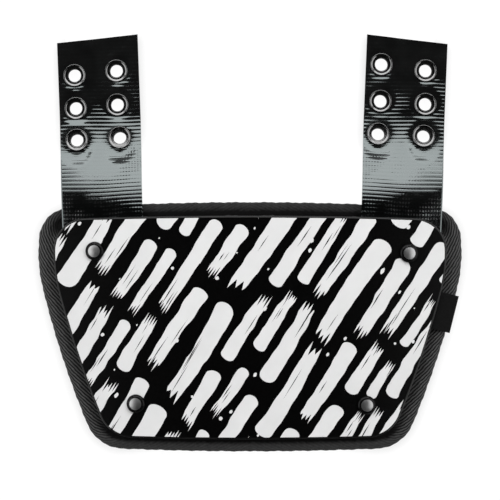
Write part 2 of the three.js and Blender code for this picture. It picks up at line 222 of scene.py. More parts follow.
def turned_piece(name, profile, origin, axes, materials, second_row):
    """A smooth solid turned about a frame's Z, from a closed profile of radius and height. From
    second_row on, the profile takes the second material."""
    points = []
    rings = []
    for radius, height in profile:
        ring = []
        for k in range(TURNED_SIDES):
            angle = 2 * math.pi * k / TURNED_SIDES
            local = np.array((radius * math.cos(angle), radius * math.sin(angle), height))
            ring.append(len(points))
            points.append(origin + local @ axes)
        rings.append(ring)
    finish = np.repeat(np.arange(len(rings)) >= second_row, TURNED_SIDES)
    piece = add_piece(name, points, band_faces(rings, closed_rows=True), materials, finish)
    keep_crisp(piece, CREASE.turned)
    return piece


# Outline of tangent arcs
def meet(a, to_a, b, to_b):
    """Centre of a circle at given distances from two centres, on the right from a to b."""
    dx, dy = b[0] - a[0], b[1] - a[1]
    apart = math.hypot(dx, dy)
    along = (to_a**2 - to_b**2 + apart**2) / (2 * apart)
    across = math.sqrt(to_a**2 - along**2)
    return a[0] + (dx * along + dy * across) / apart, a[1] + (dy * along - dx * across) / apart


def arcs_of(shape):
    """(centre x, centre y, radius, first angle, last angle) down the right half of an outline."""
    top = (0, shape.top - shape.top_radius)
    waist = (0, shape.bottom + shape.bottom_radius)
    flank = (shape.half_width - shape.flank_radius, shape.widest_y)
    corner = shape.top_corner
    shoulder = meet(top, shape.top_radius - corner, flank, shape.flank_radius - corner)
    hip_r = shape.bottom_corner
    hip_x = shape.bottom_corner_x
    hip = (hip_x, waist[1] - math.sqrt((shape.bottom_radius - hip_r) ** 2 - hip_x**2))
    side_r = shape.side_radius
    side = meet(flank, side_r - shape.flank_radius, hip, side_r - hip_r)
    centres = [top, shoulder, flank, side, hip, waist]
    radii = [shape.top_radius, corner, shape.flank_radius, side_r, hip_r, shape.bottom_radius]
    arcs = []
    start = math.pi / 2
    for i, (centre, radius) in enumerate(zip(centres, radii)):
        end = -math.pi / 2
        if i + 1 < len(centres):
            pair = (centre, centres[i + 1])
            large, small = pair if radius > radii[i + 1] else pair[::-1]
            end = math.atan2(small[1] - large[1], small[0] - large[0])
        arcs.append((centre[0], centre[1], radius, start, end))
        start = end
    return arcs


def stations_of(shape, half_count):
    """Stations evenly round an outline, clockwise from the middle of the top edge: centre,
    radius, angle, mirror, and the way along the edge from the top edge's middle."""
    arcs = arcs_of(shape)
    lengths = [arc[2] * (arc[3] - arc[4]) for arc in arcs]
    total = sum(lengths)
    half = []
    for k in range(half_count + 1):
        way = total * k / half_count
        rest = way
        for index, length in enumerate(lengths):
            if rest <= length or index == len(lengths) - 1:
                break
            rest -= length
        x, y, radius, start, _ = arcs[index]
        half.append((x, y, radius, start - rest / radius, way))
    right = [(*station[:4], 1, station[4]) for station in half]
    left = [(*station[:4], -1, station[4]) for station in half[-2:0:-1]]
    return np.array(right + left)


def ring_at(stations, inset):
    """Points of a ring in plan, a way in from the outline."""
    x, y, radius, angle, mirror, _ = stations.T
    reach = radius - inset
    return np.column_stack((mirror * (x + reach * np.cos(angle)), y + reach * np.sin(angle)))


def rings_on_bow(stations, section, lift=None, draw_in=0):
    """Points and rings of a section swept round an outline on the bowed seat. Its rows are inset,
    level and share of the straps' press."""
    points = []
    rings = []
    for row, (inset, level, press) in enumerate(section):
        x, y = ring_at(stations, inset + draw_in).T
        z = seat_height(x, y) + level - press * press_depth(x, y)
        if lift is not None:
            z = z + lift(row)
        first = len(points)
        points.extend(np.column_stack((x, y, z)).tolist())
        rings.append(list(range(first, first + len(x))))
    return points, rings


def smooth_curve(rows, steps):
    """A smooth open curve through rows of numbers."""
    rows = np.asarray(rows, float)
    padded = np.vstack((2 * rows[0] - rows[1], rows, 2 * rows[-1] - rows[-2]))
    curve = []
    for a, b, c, d in zip(padded, padded[1:], padded[2:], padded[3:]):
        for k in range(steps):
            t = k / steps
            square = (2 * a - 5 * b + 4 * c - d) * t**2
            cube = (3 * b - a - 3 * c + d) * t**3
            curve.append(0.5 * (2 * b + (c - a) * t + square + cube))
    curve.append(rows[-1])
    return np.array(curve)


# Flat fills
GRID_MARGIN = 0.6  # of a step, between the edge of a fill and the grid inside it


def counter_clockwise(polygon):
    """The polygon's points in counter-clockwise order."""
    x, y = np.asarray(polygon, float).T
    area = np.sum(x * np.roll(y, -1) - np.roll(x, -1) * y)
    return list(polygon) if area > 0 else list(polygon)[::-1]


def fill_plan(boundary, holes=(), shapes=(), inner_points=()):
    """Triangles of a flat region with holes, and for each triangle the shapes that cover it."""
    coords = []
    faces = []
    for polygon in [boundary, *holes, *shapes]:
        first = len(coords)
        coords.extend(Vector(point) for point in counter_clockwise(polygon))
        faces.append(list(range(first, len(coords))))
    coords.extend(Vector(point) for point in inner_points)
    points, _, triangles, _, _, owners = delaunay_2d_cdt(coords, [], faces, 0, 1e-5, True)
    hole_ids = set(range(1, 1 + len(holes)))
    kept = []
    covers = []
    for triangle, owner in zip(triangles, owners):
        if 0 not in owner or hole_ids & set(owner):
            continue
        kept.append(triangle)
        covers.append({index - 1 - len(holes) for index in owner if index > len(holes)})
    used, corners = np.unique(np.array(kept), return_inverse=True)
    plan = np.array([(points[i].x, points[i].y) for i in used])
    return plan, [tuple(corner) for corner in corners.reshape(-1, 3).tolist()], covers


def border_sides(triangles):
    """The sides that only one triangle of a patch has, in that triangle's direction."""
    sides = dict.fromkeys(pair for a, b, c in triangles for pair in ((a, b), (b, c), (c, a)))
    return [(a, b) for a, b in sides if (b, a) not in sides]


def border_of(triangles):
    """The corners round a patch of triangles, in order."""
    following = dict(border_sides(triangles))
    loop = [min(following)]
    while following[loop[-1]] != loop[0]:
        loop.append(following[loop[-1]])
    return loop


def inside_polygon(polygon, x, y):
    """Whether points lie in a polygon, by counting the edges to their right."""
    after = np.roll(polygon, -1, axis=0)
    inside = np.zeros(np.shape(x), bool)
    for (ax, ay), (bx, by) in zip(polygon, after):
        if ay == by:
            continue
        crosses = (ay > y) != (by > y)
        inside ^= crosses & (x < (bx - ax) * (y - ay) / (by - ay) + ax)
    return inside


def inner_grid(stations, inset, step):
    """Points of a square grid in plan that are clear of a ring a way in from the outline."""
    ring = ring_at(stations, inset)
    low, high = ring.min(0), ring.max(0)
    gx, gy = np.meshgrid(np.arange(low[0], high[0], step), np.arange(low[1], high[1], step))
    inside = inside_polygon(ring_at(stations, inset + GRID_MARGIN * step), gx, gy)
    return np.column_stack((gx[inside], gy[inside]))


def lay(points, faces, plan, triangles, heights, up):
    """Adds a sheet of triangles at given heights that faces up or down."""
    first = len(points)
    points.extend(np.column_stack((plan, heights)).tolist())
    for triangle in triangles:
        a, b, c = (first + i for i in triangle)
        faces.append((a, b, c) if up else (a, c, b))


# Ways to make materials
class Web:
    """A node tree, with a short way to add each kind of node. Values are numbers or sockets."""

    def __init__(self, tree):
        self.tree = tree

    def fill(self, socket, value):
        """Sets an input to a number or colour, or links it to another node's socket."""
        if isinstance(value, bpy.types.NodeSocket):
            self.tree.links.new(value, socket)
        else:
            socket.default_value = value

    def put(self, node, **values):
        for name, value in values.items():
            self.fill(node.inputs[name.replace("_", " ")], value)
        return node

    def add(self, kind, **values):
        return self.put(self.tree.nodes.new("ShaderNode" + kind), **values)

    def calc(self, operation, *values):
        """The result of an operation on one to three values."""
        node = self.add("Math")
        node.operation = operation
        for socket, value in zip(node.inputs, values):
            self.fill(socket, value)
        return node.outputs[0]

    def plus(self, a, b):
        return self.calc("ADD", a, b)

    def times(self, value, *others):
        for other in others:
            value = self.calc("MULTIPLY", value, other)
        return value

    def spread(self, value, low, high, start=0.3, stop=0.7):
        """A number that runs from low to high as the value goes from start to stop."""
        node = self.add("MapRange", Value=value, To_Min=low, To_Max=high, From_Min=start, From_Max=stop)
        return node.outputs["Result"]

    def shades(self, value, low, high, start=0.3, stop=0.7):
        """A grey that runs from low to high as the value goes from start to stop."""
        node = self.add("ValToRGB", Fac=value)
        first, last = node.color_ramp.elements
        first.position, last.position = start, stop
        first.color, last.color = grey(low), grey(high)
        return node.outputs["Color"]

    def noise(self, scale, detail=4.0, roughness=0.6):
        """Noise in the object's own space; scale counts per metre."""
        place = self.add("TexCoord").outputs["Object"]
        node = self.add("TexNoise", Vector=place, Scale=scale, Detail=detail, Roughness=roughness)
        return node.outputs["Fac"]

    def axes(self, vector):
        return self.add("SeparateXYZ", Vector=vector).outputs

    def object_axes(self):
        """The object's own X and Y, in metres."""
        return self.axes(self.add("TexCoord").outputs["Object"])[:2]

    def cloth_axes(self):
        """The two axes of the cloth's own map, in millimetres."""
        node = self.add("UVMap")
        node.uv_map = "cloth"
        return self.axes(node.outputs["UV"])[:2]

    def point_value(self, name):
        """A number that the mesh keeps for each of its points."""
        node = self.add("Attribute")
        node.attribute_name = name
        return node.outputs["Fac"]

    def wave(self, phase, pitch):
        """A wave from 0 to 1 that repeats every pitch of the phase."""
        turn = self.times(phase, 2 * math.pi / pitch)
        return self.calc("MULTIPLY_ADD", self.calc("SINE", turn), 0.5, 0.5)

    def finish(self, **values):
        """Fills the sockets of the material's shader."""
        self.put(self.tree.nodes["Principled BSDF"], **values)

    def bump(self, height, strength, depth):
        node = self.add("Bump", Height=height, Strength=strength, Distance=depth * MM)
        self.finish(Normal=node.outputs["Normal"])


def grey(value):
    return (value, value, value, 1)


def new_material(name):
    material = bpy.data.materials.new(name)
    material.use_nodes = True
    return material, Web(material.node_tree)


def mottled(name, noise, tone, rough, detail=4, shine=0.5, metal=0, bump=None):
    """A material whose tone, roughness and bump follow one noise. Bump is a strength and a depth."""
    material, web = new_material(name)
    marks = web.noise(noise, detail)
    web.finish(Base_Color=web.shades(marks, *tone), Roughness=web.spread(marks, *rough))
    web.finish(Specular_IOR_Level=shine, Metallic=metal)
    if bump:
        web.bump(marks, *bump)
    return material


def woven(name, axes, pitch, noise, detail, tone, rough, bump, **values):
    """Cloth with a plain weave on two axes and a fuzz of fibres. Tone ends with the span it runs over."""
    material, web = new_material(name)
    along, across = axes(web)
    weave = web.times(web.wave(along, pitch), web.wave(across, pitch))
    fuzz = web.noise(noise, detail)
    shade = web.times(weave, fuzz)
    web.finish(Base_Color=web.shades(shade, *tone), Roughness=web.spread(fuzz, *rough), **values)
    web.bump(weave, *bump)
    return material


# Materials
# The rim below waist_y is a copy of the rim material with less shine, which paints shade on the waist edge.
RIM = Sizes(dull=0.02, shine=0.25, waist_y=-116.5)  # dull below waist_y
TWILL = Sizes(
    pitch=1.75, slant=math.radians(27), wobble=0.9, mottle=0.7, faint=0.88, faint_power=3, fuzz=500,
    fuzz_detail=5, fuzz_roughness=0.7, level=0.6, tone=(0.0012, 0.075, 0.28, 0.92), rough=(0.8, 0.95),
    bump=(0.8, 0.3),
)
LINING_PITCH = 0.9
TAG_PITCH = 0.5
RIB = Sizes(
    pitch=2.4, height=0.035, rows=0.34, columns=1.4, calm=0.6, calm_along=(98, 112), worn=0.9,
    worn_inward=(-2, 18), skew=0.03, sway=0.35, sway_across=9, sway_along=23,
)
YARN = Sizes(
    pitch=1.8, patches=70, detail=5, smooth=0.5, rough=0.64, height=0.06, ends=(50, 72), inward=0.004,
)
# Painted glints: light dots in the base colour on the weave near the strap's root, stronger outward and in
# patches. Painted shade: the mottle fades out towards the root, which stays darker.
PAINTED_GLINTS_AND_SHADE = Sizes(
    along=(22, 32), across=(-16, 16), patches=(0.44, 0.58), sharp=2.5, ground=0.06, black=0.0006, tone=0.09,
)
GROOVE = Sizes(sharp=14, depth=0.03)
COATING = Sizes(rough=(0.06, 0.14), ior=1.76, tint=(0.9, 1, 1, 1))


def shell_material():
    """Satin black moulded plastic with a fine grain."""
    return mottled("shell_black", noise=900, detail=3, tone=(0.0005, 0.0012), rough=(0.28, 0.38), shine=0.05,
                   bump=(0.1, 0.02))


def rim_material(name, shine):
    """The shell's bare rounded edge, where the moulded plastic is a worn dark grey. A low shine gives the
    copy for the waist edge, which is painted shade.
    """
    return mottled(name, noise=240, detail=6, tone=(0.0035, 0.01), rough=(0.38, 0.55), shine=shine,
                   bump=(0.1, 0.03))


def print_material():
    """Light grey ink, a little uneven as it dries."""
    material = mottled("print_grey", noise=60, detail=6, tone=(0.54, 0.575), rough=(0.45, 0.6), shine=0.25)
    web = Web(material.node_tree)
    web.bump(web.noise(1200, detail=2), strength=0.1, depth=0.02)
    return material


def binding_material():
    """Dark grey twill tape: diagonal ribs with a fuzz of fibres, darkened by the painted shade that the mesh
    keeps for each point.
    """
    material, web = new_material("binding_twill")
    along, across = web.cloth_axes()
    lengthwise = web.times(along, math.sin(TWILL.slant))
    crosswise = web.times(across, math.cos(TWILL.slant))
    fuzz = web.noise(TWILL.fuzz, TWILL.fuzz_detail, TWILL.fuzz_roughness)
    phase = web.plus(web.plus(lengthwise, crosswise), web.times(fuzz, TWILL.wobble))
    even = web.calc("SUBTRACT", web.wave(phase, TWILL.pitch), 0.5)
    ribs = web.plus(web.times(even, web.point_value("ribs")), 0.5)
    shade = web.plus(ribs, web.times(fuzz, TWILL.mottle))
    # The tone is multiplied by painted shade: darker in the gutter beside the shell and over the tape's top
    # side.
    lit = web.times(shade, TWILL.level, web.point_value("painted_shade_factor"))
    web.finish(Base_Color=web.shades(lit, *TWILL.tone), Roughness=web.spread(fuzz, *TWILL.rough))
    web.finish(Sheen_Weight=0.05, Sheen_Roughness=0.5, Specular_IOR_Level=0.15)
    web.bump(ribs, *TWILL.bump)
    return material


def lining_material():
    """Black lining cloth with a fine plain weave."""
    return woven("lining_weave", Web.object_axes, LINING_PITCH * MM, noise=400, detail=5,
                 tone=(0.012, 0.04, 0.1, 0.6), rough=(0.85, 0.98), bump=(0.6, 0.2), Sheen_Weight=0.1)


def tag_material():
    """Black woven ribbon."""
    return woven("tag_woven", Web.cloth_axes, TAG_PITCH, noise=900, detail=4,
                 tone=(0.0008, 0.0035, 0.1, 0.6), rough=(0.7, 0.9), bump=(0.5, 0.08), Specular_IOR_Level=0.12)


def strap_material():
    """Glossy black coating over ribbed webbing, with yarns that show through in places as bumps, painted
    glints near the root and a darker painted-shade root.
    """
    material, web = new_material("strap_coated")
    along, across = web.cloth_axes()
    rib = web.wave(along, RIB.pitch)
    knots = web.times(web.wave(across, YARN.pitch), rib)
    cloud = web.noise(YARN.patches, YARN.detail)
    inner = web.plus(cloud, web.times(across, -YARN.inward))
    patch = web.spread(inner, 0, YARN.height, YARN.smooth, YARN.rough)
    groove = web.times(web.calc("POWER", rib, GROOVE.sharp), GROOVE.depth)
    relief = web.calc("SUBTRACT", web.times(knots, patch), groove)
    web.bump(web.times(relief, web.spread(along, 1, 0, *YARN.ends)), strength=1, depth=1)
    # Painted glints: light dots on the weave's knots near the root, stronger outward, showing only where the
    # patch mask lets them.
    low = web.spread(along, 1, 0, *PAINTED_GLINTS_AND_SHADE.along)
    outward = web.spread(across, 0, 1, *PAINTED_GLINTS_AND_SHADE.across)
    bare = web.spread(cloud, 0, 1, *PAINTED_GLINTS_AND_SHADE.patches)
    painted_glints = web.times(web.calc("POWER", knots, PAINTED_GLINTS_AND_SHADE.sharp), low, outward, bare)
    # Painted shade: the mottle fades out towards the root, leaving it darker.
    ground = web.times(cloud, web.spread(along, 0, PAINTED_GLINTS_AND_SHADE.ground, *PAINTED_GLINTS_AND_SHADE.along))
    tone = web.shades(web.plus(painted_glints, ground), PAINTED_GLINTS_AND_SHADE.black, PAINTED_GLINTS_AND_SHADE.tone, 0, 1)
    web.finish(Base_Color=tone, Roughness=web.spread(cloud, *COATING.rough))
    web.finish(IOR=COATING.ior, Specular_Tint=COATING.tint)
    return material


def eyelet_material():
    """Dark nickel with faint turning marks."""
    return mottled("eyelet_nickel", noise=500, tone=(0.095, 0.13), rough=(0.1, 0.18), metal=1)


def bore_painted_shade_material():
    """Dull black inside an eyelet's barrel and over its rolled lip: painted shade that keeps the inner wall
    dark.
    """
    return mottled("eyelet_bore_painted_shade", noise=600, tone=(0.003, 0.008), rough=(0.5, 0.65), shine=0.08)


def rivet_material():
    """Black enamel on a rivet's rim and washer."""
    return mottled("rivet_enamel", noise=700, tone=(0.001, 0.004), rough=(0.05, 0.1), shine=0.1)


def cap_material():
    """Satin black nickel on the flat of a rivet's head, rubbed lighter."""
    return mottled("rivet_cap", noise=400, tone=(0.22, 0.27), rough=(0.33, 0.37), metal=1)


# Shell and its print
SHELL_STATIONS = 220
SHELL_EDGE = Sizes(inset=1.1, back=0.7, front_start=1.8, steps=6)
PRINT_INSET = 1.25  # of the print's edge from the outline
FRONT_STEP, BACK_STEP = 4, 8
BLACK, INK, BARE_RIM, WAIST_RIM = range(4)  # the shell's materials in order
SLASH = Sizes(
    seed=11, reach=150, lean=math.radians(57), sway=math.radians(3), lanes=(9.5, 12, 15, 18, 20),
    first_gap=40, gap=(9, 14), fill=0.7, widths=(0.9, 1.05), slim=2.2, long=4.4, nose=(0.5, 0.9),
    nose_steps=6, bow=0.03, step=2.4, taper=0.25, waves=4, wave_pitch=(9, 30), waver=0.3, jitter=0.12,
    teeth=(3, 5), tooth=(0.5, 6), notch=(-5, -0.5),
)
SCRATCH = Sizes(
    count=(1, 3), reach=(0.18, 0.4), middle=(0.55, 0.95), off=0.26, half=(0.2, 0.5), low_place=0.5,
    high_place=0.6, high_share=0.7,
)
DROP = Sizes(
    count=70, x=(-120, 120), y=(-120, 15), radius=(0.35, 1.3), stretch=(1, 1.8), ragged=(0.8, 1.1),
    corners=12,
)


def shell_section():
    """Inset, level and press of the rim from its rounded back to its rounded front."""
    edge = SHELL_EDGE
    turns = [math.pi / 2 * k / edge.steps for k in range(edge.steps + 1)]
    rise = SHELL_THICKNESS - edge.front_start
    back = [(edge.back * (1 - math.sin(t)), edge.back * (1 - math.cos(t)), 0) for t in turns]
    front = [(edge.inset * (1 - math.cos(t)), edge.front_start + rise * math.sin(t), 0) for t in turns]
    return back + front


def slash_outline(chance, length, width):
    """One brush slash along +X from the origin: a round start, wavering edges and a dry, ragged end."""
    half = width / 2
    nose = half * chance.uniform(*SLASH.nose)
    bow = chance.uniform(-SLASH.bow, SLASH.bow) * length
    waves = []
    for _ in range(SLASH.waves):
        waves.append((chance.uniform(*SLASH.wave_pitch), chance.uniform(0, math.tau)))
    steps = SLASH.nose_steps
    stops = [nose * (1 - math.cos(math.pi / 2 * k / steps)) for k in range(steps)]
    stops += np.arange(nose, length, SLASH.step).tolist()

    def edge_point(way, side):
        swell = math.sqrt(max(0, 1 - (1 - min(way / nose, 1)) ** 2))
        waver = sum(math.sin(math.tau * way / pitch + shift + 2 * side) for pitch, shift in waves)
        ragged = SLASH.waver * waver / 2 + chance.uniform(-1, 1) * SLASH.jitter
        reach = half * (1 - SLASH.taper * way / length) + ragged
        return way, bow * hill(way / length) + side * swell * reach

    upper = [edge_point(way, 1) for way in stops]
    lower = [edge_point(way, -1) for way in stops[1:]]
    ends = 2 * chance.randint(*SLASH.teeth) - 1
    ragged_end = []
    for k in range(ends):
        out = chance.uniform(*(SLASH.notch if k % 2 else SLASH.tooth))
        ragged_end.append((length + out, lerp(upper[-1][1], lower[-1][1], (k + 0.5) / ends)))
    return upper + ragged_end + lower[::-1]


def slash_scratch(chance, length, width):
    """A thin bare streak along a slash, near its dry end."""
    reach = chance.uniform(*SCRATCH.reach) * length
    start = chance.uniform(*SCRATCH.middle) * length - reach / 2
    level = chance.uniform(-SCRATCH.off, SCRATCH.off) * width
    half = chance.uniform(*SCRATCH.half)
    low = (start + reach * SCRATCH.low_place, level - half)
    high = (start + reach * SCRATCH.high_place, level + half * SCRATCH.high_share)
    return [(start, level), low, (start + reach, level), high]


def placed(polygon, x, y, angle):
    cos, sin = math.cos(angle), math.sin(angle)
    return [(x + px * cos - py * sin, y + px * sin + py * cos) for px, py in polygon]


def drop_outline(chance):
    """A small round-edged drop of ink."""
    x, y = chance.uniform(*DROP.x), chance.uniform(*DROP.y)
    radius = chance.uniform(*DROP.radius)
    stretch = chance.uniform(*DROP.stretch)
    drop = []
    for k in range(DROP.corners):
        turn = math.tau * k / DROP.corners
        reach = radius * chance.uniform(*DROP.ragged)
        drop.append((reach * stretch * math.cos(turn), reach * math.sin(turn)))
    return placed(drop, x, y, SLASH.lean)


def print_shapes():
    """Slashes in lanes across the shell that never touch, their bare streaks, and a few drops."""
    chance = random.Random(SLASH.seed)
    lean, reach = SLASH.lean, SLASH.reach
    along = np.array((math.cos(lean), math.sin(lean)))
    across = np.array((-along[1], along[0]))
    centre = np.array((0, (SHELL_OUTLINE.top + SHELL_OUTLINE.bottom) / 2))
    light = []
    bare = []
    lane = -reach
    while lane < reach:
        room = chance.choice(SLASH.lanes)
        way = -reach + chance.uniform(0, SLASH.first_gap)
        while way < reach:
            length = room * chance.uniform(SLASH.slim, SLASH.long)
            width = room * SLASH.fill * chance.uniform(*SLASH.widths)
            flip = chance.random() < 0.5
            start = centre + across * (lane + room / 2) + along * (way + (length if flip else 0))
            sway = chance.uniform(-1, 1) * SLASH.sway * SLASH.slim * room / length
            angle = lean + sway + (math.pi if flip else 0)
            light.append(placed(slash_outline(chance, length, width), *start, angle))
            for _ in range(chance.randint(*SCRATCH.count)):
                bare.append(placed(slash_scratch(chance, length, width), *start, angle))
            way += length + chance.uniform(*SLASH.gap)
        lane += room
    for _ in range(DROP.count):
        light.append(drop_outline(chance))
    return light, bare


def build_shell(black, light_ink, rim, waist_rim):
    """The printed front, a thin margin round the print, the rounded rim and the plain back."""
    stations = stations_of(SHELL_OUTLINE, SHELL_STATIONS)
    points, rings = rings_on_bow(stations, shell_section())
    faces = band_faces(rings)
    edge_y = ring_at(stations, 0)[:, 1]
    # Below waist_y the rim takes its less shiny copy, painted shade on the waist edge.
    finish = np.tile(np.where(edge_y < RIM.waist_y, WAIST_RIM, BARE_RIM), len(rings) - 1).tolist()

    def lay_on_bow(plan, triangles, level, up):
        lay(points, faces, plan, triangles, seat_height(*plan.T) + level, up)

    light, bare = print_shapes()
    field = ring_at(stations, PRINT_INSET).tolist()
    grid = inner_grid(stations, PRINT_INSET, FRONT_STEP)
    plan, triangles, covers = fill_plan(field, shapes=[*light, *bare], inner_points=grid)
    lay_on_bow(plan, triangles, SHELL_THICKNESS, True)
    for cover in covers:
        in_light = any(index < len(light) for index in cover)
        in_bare = any(index >= len(light) for index in cover)
        finish.append(INK if in_light and not in_bare else BLACK)
    border = [plan[i].tolist() for i in border_of(triangles)]
    plan, triangles, _ = fill_plan(ring_at(stations, SHELL_EDGE.inset).tolist(), holes=[border])
    lay_on_bow(plan, triangles, SHELL_THICKNESS, True)
    finish.extend([BLACK] * len(triangles))
    grid = inner_grid(stations, SHELL_EDGE.back, BACK_STEP)
    plan, triangles, _ = fill_plan(ring_at(stations, SHELL_EDGE.back).tolist(), inner_points=grid)
    lay_on_bow(plan, triangles, 0, False)
    finish.extend([BLACK] * len(triangles))
    shell = add_piece("shell_printed", points, faces, [black, light_ink, rim, waist_rim], finish)
    weld(shell)
    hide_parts("shell_plate")


# Binding
BINDING_STATIONS = 330
BINDING_SMOOTHING = 4
BINDING_OUTER = [
    (12, -3, 1), (9.4, -2.7, 1), (8, -2.4, 1), (6.8, -2.2, 1), (5, -2.1, 0.9), (2.6, -2.9, 0.8),
    (0.7, -4.6, 0.4), (0, -6.9, 0), (0.7, -9.2, 0),
    (2.6, -10.8, 0), (6, -11.5, 0), (12, -11.7, 0),
]
BINDING_INNER = [
    (12, -10.5, 0), (3.6, -10.2, 0), (1.2, -8.1, 0), (1.2, -5.6, 0.2), (3.6, -3.8, 1), (12, -4.9, 1),
]
INNER_FRONT_ROWS = 2
# Span and depth dip the tape into a gutter beside the shell. Dark and its power set the painted shade in that
# gutter, and top sets the painted shade over the tape's top side.
GUTTER = Sizes(span=(2.8, 8.4), depth=2, dark=0.95, dark_power=2, power=0.8, top=0.3)
WRINKLE = Sizes(depth=0.12, middle=0.7, wave=13.0, second_wave=5.3, drift=31.0, drift_turn=3)
PUCKER = Sizes(height=0.16, wave=17.0, second=0.1, second_wave=6.3, row_shift=0.35)


def build_binding(twill):
    """Tape round the pad's rim, with a wrinkled edge, puckers and a dipped gutter beside the shell, with
    painted shade in the gutter and over the tape's top side.
    """
    stations = stations_of(PAD_OUTLINE, BINDING_STATIONS)
    outer = smooth_curve(BINDING_OUTER, BINDING_SMOOTHING)
    section = np.vstack((outer, BINDING_INNER))
    steps = np.hypot(*np.diff(section[:, :2], axis=0).T)
    width = np.concatenate(([0], np.cumsum(steps)))
    upness = np.sin(stations[:, 3])
    way = stations[:, 5]

    def wave(pitch, shift=0):
        return np.sin(2 * math.pi * way / pitch + shift)

    def pucker(row):
        share = math.sin(math.pi * min(row, len(outer) - 1) / (len(outer) - 1))
        second = PUCKER.second * wave(PUCKER.second_wave, row * PUCKER.row_shift)
        return share * (PUCKER.height * wave(PUCKER.wave) + second)

    def gutter(inset):
        """How far a place lies in the gutter beside the shell, which is deep at the top and the waist."""
        return smoothstep(inset, *GUTTER.span) * abs(upness) ** GUTTER.power

    def lift(row):
        front = row < len(outer) // 2 or row >= len(section) - INNER_FRONT_ROWS
        return pucker(row) - (GUTTER.depth * gutter(section[row][0]) if front else 0)

    drift = WRINKLE.drift_turn * np.sin(way / WRINKLE.drift)
    wrinkle = WRINKLE.middle + wave(WRINKLE.wave) + wave(WRINKLE.second_wave, drift)
    points, rings = rings_on_bow(stations, section, lift, WRINKLE.depth * wrinkle)
    points = np.array(points)
    points[:, 2] = np.maximum(points[:, 2], 0)
    uv = np.array([(station_way, across) for across in width for station_way in way])
    faces = band_faces(rings, closed_rows=True)
    binding = add_piece("binding_tape", points, faces, [twill], uv=uv)
    # Painted shade: the tape's top side is darker, and so is the gutter beside the shell.
    top = 1 - GUTTER.top * np.maximum(upness, 0)
    dark = [GUTTER.dark * gutter(inset) ** GUTTER.dark_power for inset in section[:, 0]]
    keep_values(binding, "painted_shade_factor", np.concatenate([top * (1 - share) for share in dark]))
    faint = TWILL.faint * abs(upness) ** TWILL.faint_power
    keep_values(binding, "ribs", np.tile(1 - faint, len(section)))
    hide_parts("edge_binding")


# Straps
PROUD = Sizes(height=0.45, along=(50, 72))
HUMP = dict(left=0.22, right=0.6, rise=(19, 33), fall=(33, 56))
MIDDLE = dict(across=(6, 11), left=(72, 92), right=(72, 98), drop=0.45, rib=1.0)
OUTER = dict(left=0, right=1.5, across=(15, 19), along=(62, 114))
# For each row of eyelets from the tip, how far its pinch reaches and how long it trails.
PINCH = Sizes(inner=6.4, tilt=0.5, rows=((10.4, 1), (11, 1), (13.5, 0.76)))
SWELL = Sizes(height=0.03, long=17.0, long_skew=0.5, cross=21.0, cross_skew=0.7)
STRAP_EDGE = Sizes(width=0.5, drop=0.14, columns=(0, 0.5, 0.8), fade=(45, 75))
EYELET_HOLE = Sizes(radius=5.2, clear=5.5, corners=32)


def strap_plan(strap, across, y):
    """Plan x of a place on a strap, with across measured outward from its middle line."""
    centre = strap.centre_x + strap.lean * (y - STRAP.cross_y)
    return strap.side * (centre + across)


def strap_across(strap, x, y):
    return strap.side * x - strap.centre_x - strap.lean * (y - STRAP.cross_y)


def rib_phase(across, y):
    """The way along a strap that its ribs count by, a little skewed and wavy."""
    sway = RIB.sway * np.sin(across / RIB.sway_across + y / RIB.sway_along)
    return y + RIB.skew * across + sway


def eyelet_frame(strap, px, py):
    """Origin and axes of an eyelet, which takes only a share of its strap's slope."""
    x = strap.side * px
    middle = strap_height(x, py)
    return frame_on(lambda ax, ay: lerp(middle, strap_height(ax, ay), PINCH.tilt), x, py)


def rib_height(name, across, y, between, upward):
    """Height of a strap's ribs: calm at the tip, worn bare at the inner edge, bold in places."""
    calm = 1 - RIB.calm * smoothstep(y, *RIB.calm_along)
    worn = 1 + RIB.worn * smoothstep(-across, *RIB.worn_inward)
    bold = 1 + MIDDLE["rib"] * between * hill(upward)
    outer = OUTER[name] * smoothstep(across, *OUTER["across"])
    bold = bold + outer * hill(smoothstep(y, *OUTER["along"]))
    return RIB.height * worn * calm * bold


def strap_front(name, x, y):
    """Height of a strap's ribbed front, which stands proud but where an eyelet pinches it, and is
    rolled down along its edges."""
    strap = STRAPS[name]
    across = strap_across(strap, x, y)
    z = strap_height(x, y) + STRAP.thickness / 2
    z = z + PROUD.height * smoothstep(y, *PROUD.along)
    z = z + HUMP[name] * (smoothstep(y, *HUMP["rise"]) - smoothstep(y, *HUMP["fall"]))
    turn = 2 * math.pi / SWELL.long
    z = z + SWELL.height * np.sin(turn * (y + SWELL.long_skew * across) + strap.side)
    turn = 2 * math.pi / SWELL.cross
    z = z + SWELL.height * np.sin(turn * (SWELL.cross_skew * y - across) + 2 * strap.side)
    edge = np.clip((abs(across) - STRAP.width / 2) / STRAP_EDGE.width + 1, 0, 1)
    z = z - STRAP_EDGE.drop * edge * (1 - smoothstep(y, *STRAP_EDGE.fade))
    between = 1 - smoothstep(abs(across), *MIDDLE["across"])
    upward = smoothstep(y, *MIDDLE[name])
    z = z - MIDDLE["drop"] * between * upward
    rib = rib_height(name, across, y, between, upward) * (1 - edge)
    z = z + rib * np.sin(2 * math.pi * rib_phase(across, y) / RIB.pitch)
    for index, (px, py) in enumerate(EYELET_PLACES[name]):
        origin, axes = eyelet_frame(strap, px, py)
        reach, trail = PINCH.rows[index // 2]
        aside, ahead = x - origin[0], y - origin[1]
        away = np.hypot(aside, np.where(ahead < 0, trail * ahead, ahead))
        slope_x, slope_y = -axes[2][:2] / axes[2][2]
        flat = origin[2] + STRAP.thickness / 2 + slope_x * aside + slope_y * ahead
        z = lerp(flat, z, smoothstep(away, PINCH.inner, reach))
    return z


